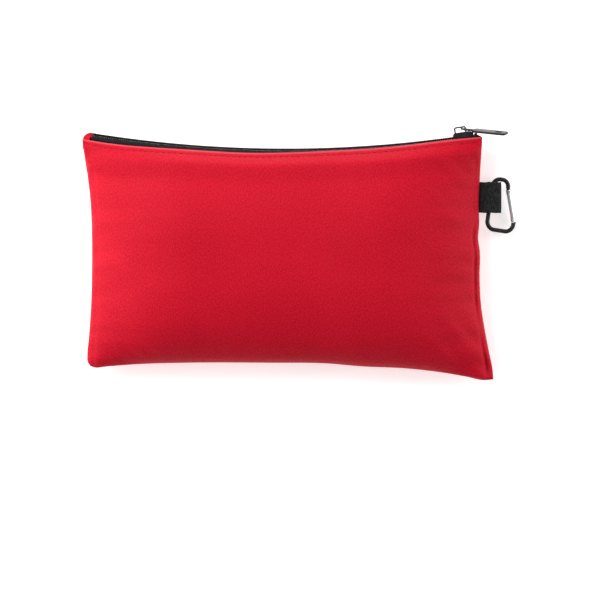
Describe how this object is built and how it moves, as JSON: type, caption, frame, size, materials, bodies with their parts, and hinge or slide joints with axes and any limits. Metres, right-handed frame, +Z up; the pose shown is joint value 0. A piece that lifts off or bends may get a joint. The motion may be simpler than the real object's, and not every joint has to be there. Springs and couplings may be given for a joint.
{
  "type": "first aid kit",
  "caption": "Soft zipped pouch with a webbing loop and a carabiner in its side seam, holding packed dressings and small tools.",
  "frame": {"origin": "middle of the flat of the back panel, which the pouch lies on", "axes": "+X along the zip towards the closed slider, +Y from the bottom fold to the zip, +Z up, away from the back panel"},
  "size_m": [0.26, 0.153, 0.038],
  "materials": {
    "red_cloth": "woven polyester, coated inside",
    "binding": "woven binding tape",
    "zip_tape": "woven zip tape",
    "zip_coil": "nylon coil",
    "slider_paint": "black painted zinc",
    "webbing": "ribbed webbing",
    "black_anodised": "black anodised",
    "gate_metal": "brushed",
    "foil": "metallised film",
    "clear_wrap": "polythene wrap",
    "sachet_paper": "coated paper",
    "plaster": "skin tone plaster",
    "gauze": "cotton gauze",
    "core": "wound card",
    "tube": "laminate tube",
    "cap": "moulded",
    "steel": "polished",
    "handle": "moulded"
  },
  "bodies": {
    "root": {"back_panel": "red_cloth", "seam_binding_left": "binding", "seam_binding_right": "binding", "zip_tape_back": "zip_tape", "zip_coil_back": "zip_coil", "zip_tape_ends": "zip_tape", "zip_coil_ends": "zip_coil", "zip_stop": "slider_paint", "zip_end_tab_left": "red_cloth", "zip_end_tab_right": "zip_tape", "webbing_loop": "webbing", "rescue_blanket": "foil", "triangular_bandage": "clear_wrap", "gloves_pack": "clear_wrap", "gauze_sachets": "sachet_paper", "adhesive_bandages": "plaster", "first_aid_leaflet": "sachet_paper", "gauze_roll": "gauze", "antiseptic_wipes": "sachet_paper", "tape_roll": "gauze", "tape_core": "core", "ointment_tube": "tube", "ointment_cap": "cap", "tweezers": "steel", "safety_pins": "steel", "scissors_blade_a": "steel", "scissors_handle_a": "handle", "scissors_rivet": "steel"},
    "front": {"front_panel": "red_cloth", "zip_tape_front": "zip_tape", "zip_coil_front": "zip_coil"},
    "slider": {"slider_body": "slider_paint", "slider_bridge": "slider_paint"},
    "pull": {"pull_tab": "slider_paint"},
    "carabiner": {"carabiner_body": "black_anodised"},
    "gate": {"carabiner_gate": "gate_metal", "gate_hinge_pin": "gate_metal", "gate_latch_pin": "gate_metal", "gate_spring": "gate_metal"},
    "scissors_arm": {"scissors_blade_b": "steel", "scissors_handle_b": "handle"}
  },
  "joints": [
    {"name": "mouth_open", "type": "hinge", "parent": "root", "child": "front", "pos_m": [0, -0.0614, 0.012], "axis": [1, 0, 0], "range_deg": [0, 17]},
    {"name": "zip_slide", "type": "hinge", "parent": "root", "child": "slider", "pos_m": [0, 0.7966, 0.012], "axis": [0, 0, 1], "range_deg": [-16.95, 0]},
    {"name": "pull_swing", "type": "hinge", "parent": "slider", "child": "pull", "pos_m": [0.1063, 0.07782, 0.012], "axis": [0, 0, 1], "range_deg": [-2, 125]},
    {"name": "clip_swing", "type": "hinge", "parent": "root", "child": "carabiner", "pos_m": [0.1214, 0.0249, 0.0083], "axis": [0.1392, 0.9903, 0], "range_deg": [-110, 80]},
    {"name": "gate_open", "type": "hinge", "parent": "carabiner", "child": "gate", "pos_m": [0.13411, 0.0406, 0.00472], "axis": [-0.3224, 0.0453, -0.9455], "range_deg": [0, 25], "stiffness_Nm_per_rad": 0.02, "springref_deg": -11.46},
    {"name": "scissors_open", "type": "hinge", "parent": "root", "child": "scissors_arm", "pos_m": [-0.058, -0.006, 0.019], "axis": [0, 0, 1], "range_deg": [-22, 0]}
  ]
}
